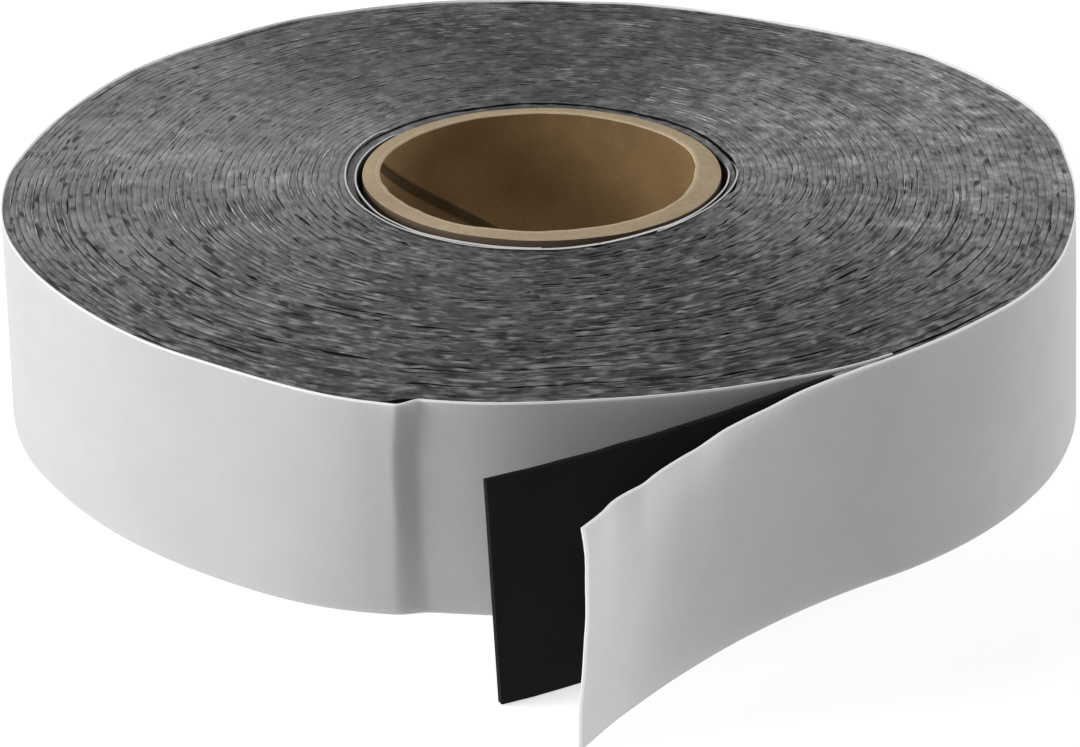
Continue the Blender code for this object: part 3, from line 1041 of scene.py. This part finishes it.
def camera():
    data = bpy.data.cameras.new("camera")
    data.sensor_fit = "HORIZONTAL"
    data.sensor_width = CAMERA_SENSOR
    data.lens = CAMERA_LENS
    data.clip_start = 0.01
    data.clip_end = 20.0
    made = bpy.data.objects.new("camera", data)
    bpy.context.scene.collection.objects.link(made)
    up = math.radians(CAMERA_ELEVATION)
    back = CAMERA_DISTANCE * Vector((0.0, -math.cos(up), math.sin(up)))
    place = AXIS + MM * (Vector(CAMERA_LOOKS_AT) + back)
    turn = Matrix.Rotation(math.radians(CAMERA_PAN), 4, "Z")
    turn = turn @ Matrix.Rotation(math.radians(90.0 - CAMERA_ELEVATION - CAMERA_TILT), 4, "X")
    turn = turn @ Matrix.Rotation(math.radians(CAMERA_ROLL), 4, "Z")
    made.matrix_world = Matrix.Translation(place) @ turn
    bpy.context.scene.camera = made


def soft_light(name, azimuth, elevation, power):
    data = bpy.data.lights.new(name, "AREA")
    data.shape = "DISK"
    data.size = LIGHT_SIZE
    data.energy = power
    made = bpy.data.objects.new(name, data)
    bpy.context.scene.collection.objects.link(made)
    a, e = math.radians(azimuth), math.radians(elevation)
    towards = Vector((math.cos(e) * math.cos(a), math.cos(e) * math.sin(a), math.sin(e)))
    made.location = AXIS + Vector((0.0, 0.0, LIGHTS_AIM_HEIGHT)) + LIGHT_DISTANCE * towards
    made.rotation_euler = towards.to_track_quat("Z", "Y").to_euler()


def world_light():
    """Even light, one strength from above the horizon and another from below it."""
    world = bpy.data.worlds.new("studio")
    world.use_nodes = True
    tree = world.node_tree
    place = add(tree, "ShaderNodeTexCoord").outputs["Generated"]
    height = add(tree, "ShaderNodeSeparateXYZ", {0: place}).outputs["Z"]
    strength = rescaled(tree, height, -0.05, 0.05, SKY_BELOW, SKY_ABOVE)
    tree.links.new(strength, tree.nodes["Background"].inputs["Strength"])
    tree.nodes["Background"].inputs["Color"].default_value = WHITE
    bpy.context.scene.world = world


def floor_material():
    made, tree, shader = principled("studio_floor")
    shader.inputs["Base Color"].default_value = (0.88, 0.88, 0.88, 1.0)
    shader.inputs["Roughness"].default_value = 0.9
    shader.inputs["Specular IOR Level"].default_value = 0.0
    shader.inputs["Emission Color"].default_value = WHITE
    shader.inputs["Emission Strength"].default_value = FLOOR_GLOW
    return made


def studio():
    world_light()
    soft_light("key_light", *KEY_LIGHT)
    soft_light("fill_light", *FILL_LIGHT)
    mesh = bpy.data.meshes.new("floor")
    corners = [(x * FLOOR_REACH, y * FLOOR_REACH, 0.0) for x, y in ((-1, -1), (1, -1), (1, 1), (-1, 1))]
    mesh.from_pydata(corners, [], [(0, 1, 2, 3)])
    mesh.materials.append(floor_material())
    floor = bpy.data.objects.new("floor", mesh)
    bpy.context.scene.collection.objects.link(floor)
    floor.location.z = -FLOOR_DROP
    floor.visible_diffuse = False
    floor.visible_glossy = False
    bpy.context.scene.view_settings.view_transform = "Standard"


camera()
studio()
paper = paper_material("liner_paper", 0.92, 0.5)
strip_piece(cut_face_material(), flat_face_material())
# The liner's cut edge has a painted glow.
liner_skin_piece(paper, paper_material("liner_cut_edge_glowing", 0.98, 0.0, painted_edge_glow=0.15))
liner_windings_piece(
    # Liner edges smudged with butyl, with painted shade in front.
    smudged_shaded_edge_material(),
    paper_material("liner_core_turns", 0.90, 0.0),
    # Dark grey paper: painted shade on the liner's sides in the narrow gaps by the core.
    paper_material("liner_painted_shade_side", 0.11, 0.0),
)
tube_piece(
    cardboard_material("cardboard_end", (0.53, 0.405, 0.255), (0.63, 0.50, 0.33)),
    # The bore's seam band is painted shade along its groove.
    cardboard_material("cardboard_bore_seam_shaded", (0.195, 0.120, 0.050), (0.270, 0.166, 0.073), seam=0.34),
    # Paler paper on the rounded lip: a painted highlight along the bore's edge.
    cardboard_material("cardboard_lip_painted_highlight", (0.62, 0.49, 0.33), (0.73, 0.60, 0.42)),
    # Dark brown outside: painted shade for the narrow gap round the tube.
    cardboard_material("cardboard_outside_painted_shade", (0.125, 0.088, 0.058), (0.155, 0.112, 0.077)),
)
